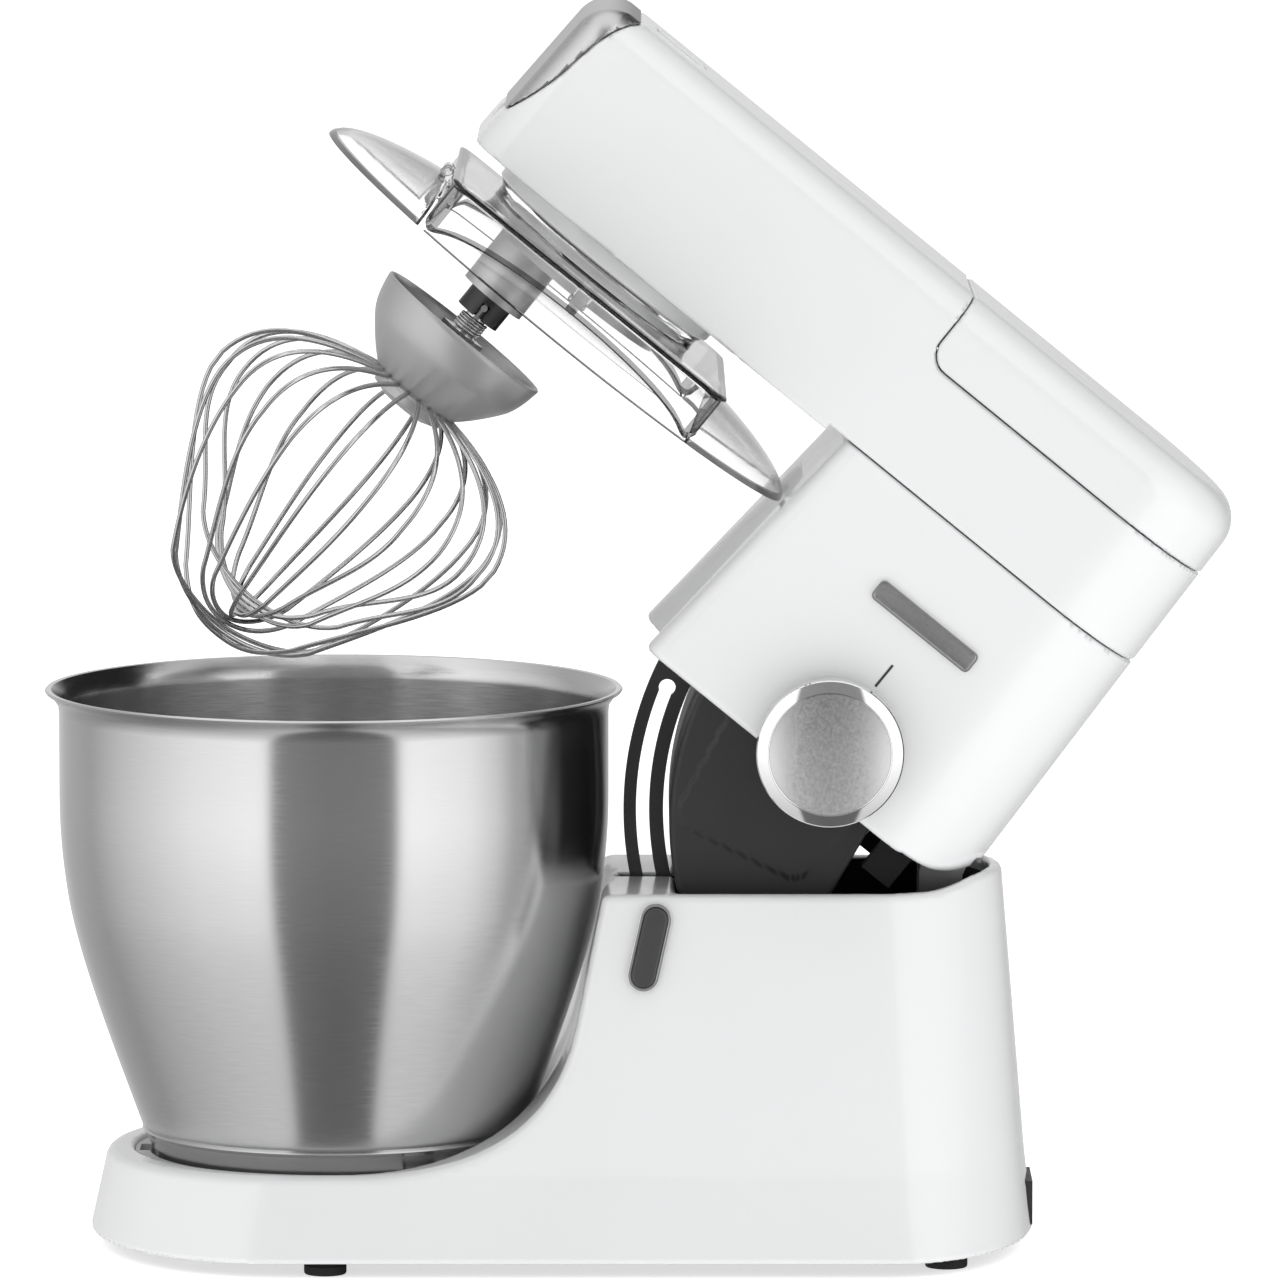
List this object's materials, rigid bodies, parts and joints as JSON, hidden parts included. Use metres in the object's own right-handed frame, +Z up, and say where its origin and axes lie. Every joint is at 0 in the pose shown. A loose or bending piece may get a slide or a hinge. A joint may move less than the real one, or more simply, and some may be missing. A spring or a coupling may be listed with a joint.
{
  "type": "stand mixer",
  "caption": "Tilt-head stand mixer with a steel bowl, balloon whisk, clear splash guard, speed knob and covered drive outlets.",
  "frame": {"origin": "on the table under the middle of the box round the mixer with its head raised", "axes": "+Z up, +X to the rear, the bowl on the -X side, the speed knob and release lever on the -Y side"},
  "size_m": [0.521, 0.255, 0.547],
  "materials": {
    "white_casing": "glossy white moulded plastic",
    "dark_plastic": "matte dark grey moulded plastic",
    "dark_metal": "dark grey satin coated steel",
    "lever_grey": "satin dark grey plastic",
    "black_plastic": "black plastic",
    "seat_grey": "grey plastic",
    "foot_rubber": "black rubber",
    "bowl_steel": "circularly brushed stainless steel",
    "bracket_steel": "satin steel",
    "chrome_trim": "bright chrome",
    "satin_silver": "satin silver",
    "mark_grey": "printed grey",
    "cast_metal": "die-cast aluminium",
    "bronze": "sintered bronze",
    "iron_core": "laminated iron",
    "copper": "copper winding",
    "gear_steel": "machined steel",
    "fan_plastic": "black nylon",
    "wheel_nylon": "natural nylon",
    "board_green": "circuit board",
    "hub_silver": "satin silver",
    "socket_dark": "dark satin metal",
    "tool_steel": "polished stainless steel",
    "hub_grey": "bead-blasted satin grey",
    "clear_plastic": "clear transparent plastic"
  },
  "bodies": {
    "base": {"base_housing": "white_casing", "base_plate": "dark_plastic", "rubber_feet": "foot_rubber", "base_screws": "bracket_steel", "bowl_seat": "seat_grey", "hinge_bracket": "bracket_steel", "hinge_pin": "bracket_steel", "latch_bearing": "dark_plastic", "cord_inlet": "dark_plastic", "lever_spring": "bracket_steel"},
    "lever": {"release_lever": "lever_grey", "lever_rim": "chrome_trim", "latch_shaft": "bracket_steel"},
    "bowl": {"bowl": "bowl_steel", "bowl_foot": "bowl_steel"},
    "head": {"head_lower_housing": "white_casing", "head_upper_housing": "white_casing", "head_chassis": "cast_metal", "head_screws": "bracket_steel", "hinge_stops": "black_plastic", "hinge_bushes": "bronze", "badge_rim": "chrome_trim", "badge_plate": "satin_silver", "dial_mark": "mark_grey", "latch_plate": "dark_metal", "quadrant_cover": "dark_plastic", "motor_stator": "iron_core", "motor_windings": "copper", "motor_brushes": "black_plastic", "motor_bearings": "gear_steel", "drive_belt": "foot_rubber", "ring_gear": "gear_steel", "planet_boss": "white_casing", "speed_board": "board_green"},
    "knob": {"speed_knob": "chrome_trim", "knob_disc": "satin_silver", "knob_shaft": "bracket_steel"},
    "rotor": {"motor_rotor": "iron_core", "commutator": "copper", "motor_fan": "fan_plastic", "motor_pulley": "gear_steel"},
    "gearbox": {"gearbox_pulley": "fan_plastic", "gearbox_shaft": "gear_steel"},
    "planet": {"planet_wheel": "wheel_nylon", "planet_hub": "hub_silver"},
    "spindle": {"planet_pinion": "gear_steel", "tool_spindle": "socket_dark"},
    "outlet": {"outlet_shaft": "gear_steel"},
    "whisk": {"whisk_shank": "tool_steel", "shank_spring": "tool_steel", "hex_nut": "tool_steel", "whisk_hub": "hub_grey", "whisk_wires": "tool_steel"},
    "guard": {"splash_guard": "clear_plastic", "flap_pin": "clear_plastic"},
    "flap": {"feed_flap": "clear_plastic"},
    "high_cover": {"top_cover": "white_casing"},
    "nose": {"nose_cap": "satin_silver"},
    "catch": {"outlet_catch": "white_casing"}
  },
  "joints": [
    {"name": "head_tilt", "type": "hinge", "parent": "base", "child": "head", "pos_m": [0.1423, 0, 0.1915], "axis": [0, -1, 0], "range_deg": [0, 39.2]},
    {"name": "lever_turn", "type": "hinge", "parent": "base", "child": "lever", "pos_m": [0.008, 0, 0.1517], "axis": [0, 1, 0], "range_deg": [0, 20], "stiffness_Nm_per_rad": 0.3},
    {"name": "bowl_lift", "type": "slide", "parent": "base", "child": "bowl", "axis": [0, 0, -1], "range_m": [-0.1, 0]},
    {"name": "speed_dial", "type": "hinge", "parent": "head", "child": "knob", "pos_m": [0.08327, 0, 0.22687], "axis": [0, 1, 0], "range_deg": [-30, 240]},
    {"name": "planet_spin", "type": "hinge", "parent": "head", "child": "planet", "pos_m": [-0.02182, 0, 0.42665], "axis": [0.632, 0, 0.7749], "continuous": true},
    {"name": "rotor_spin", "type": "hinge", "parent": "head", "child": "rotor", "pos_m": [0.11642, 0, 0.26229], "axis": [0.632, 0, 0.7749], "continuous": true},
    {"name": "gearbox_spin", "type": "hinge", "parent": "head", "child": "gearbox", "pos_m": [0.05771, 0, 0.4134], "axis": [0.632, 0, 0.7749], "continuous": true},
    {"name": "outlet_spin", "type": "hinge", "parent": "head", "child": "outlet", "pos_m": [-0.02818, 0, 0.49795], "axis": [0.7749, 0, -0.632], "continuous": true},
    {"name": "spindle_spin", "type": "hinge", "parent": "planet", "child": "spindle", "pos_m": [-0.05499, 0, 0.4279], "axis": [0.632, 0, 0.7749], "continuous": true},
    {"name": "whisk_pull", "type": "slide", "parent": "spindle", "child": "whisk", "axis": [0.632, 0, 0.7749], "range_m": [-0.025, 0]},
    {"name": "guard_pull", "type": "slide", "parent": "head", "child": "guard", "axis": [0.632, 0, 0.7749], "range_m": [-0.012, 0]},
    {"name": "flap_lift", "type": "hinge", "parent": "guard", "child": "flap", "pos_m": [-0.08289, 0, 0.47375], "axis": [0, 1, 0], "range_deg": [0, 60]},
    {"name": "high_cover_lift", "type": "slide", "parent": "head", "child": "high_cover", "axis": [0.632, 0, 0.7749], "range_m": [0, 0.03]},
    {"name": "nose_pull", "type": "slide", "parent": "head", "child": "nose", "axis": [-0.7749, 0, 0.632], "range_m": [0, 0.02]},
    {"name": "catch_press", "type": "slide", "parent": "head", "child": "catch", "axis": [-0.632, 0, -0.7749], "range_m": [0, 0.002], "stiffness_N_per_m": 800}
  ],
  "couplings": [
    {"joint": "gearbox_spin", "follows": "planet_spin", "ratio": -4},
    {"joint": "rotor_spin", "follows": "planet_spin", "ratio": -15.273},
    {"joint": "outlet_spin", "follows": "planet_spin", "ratio": -3},
    {"joint": "spindle_spin", "follows": "planet_spin", "ratio": -4.1176}
  ]
}
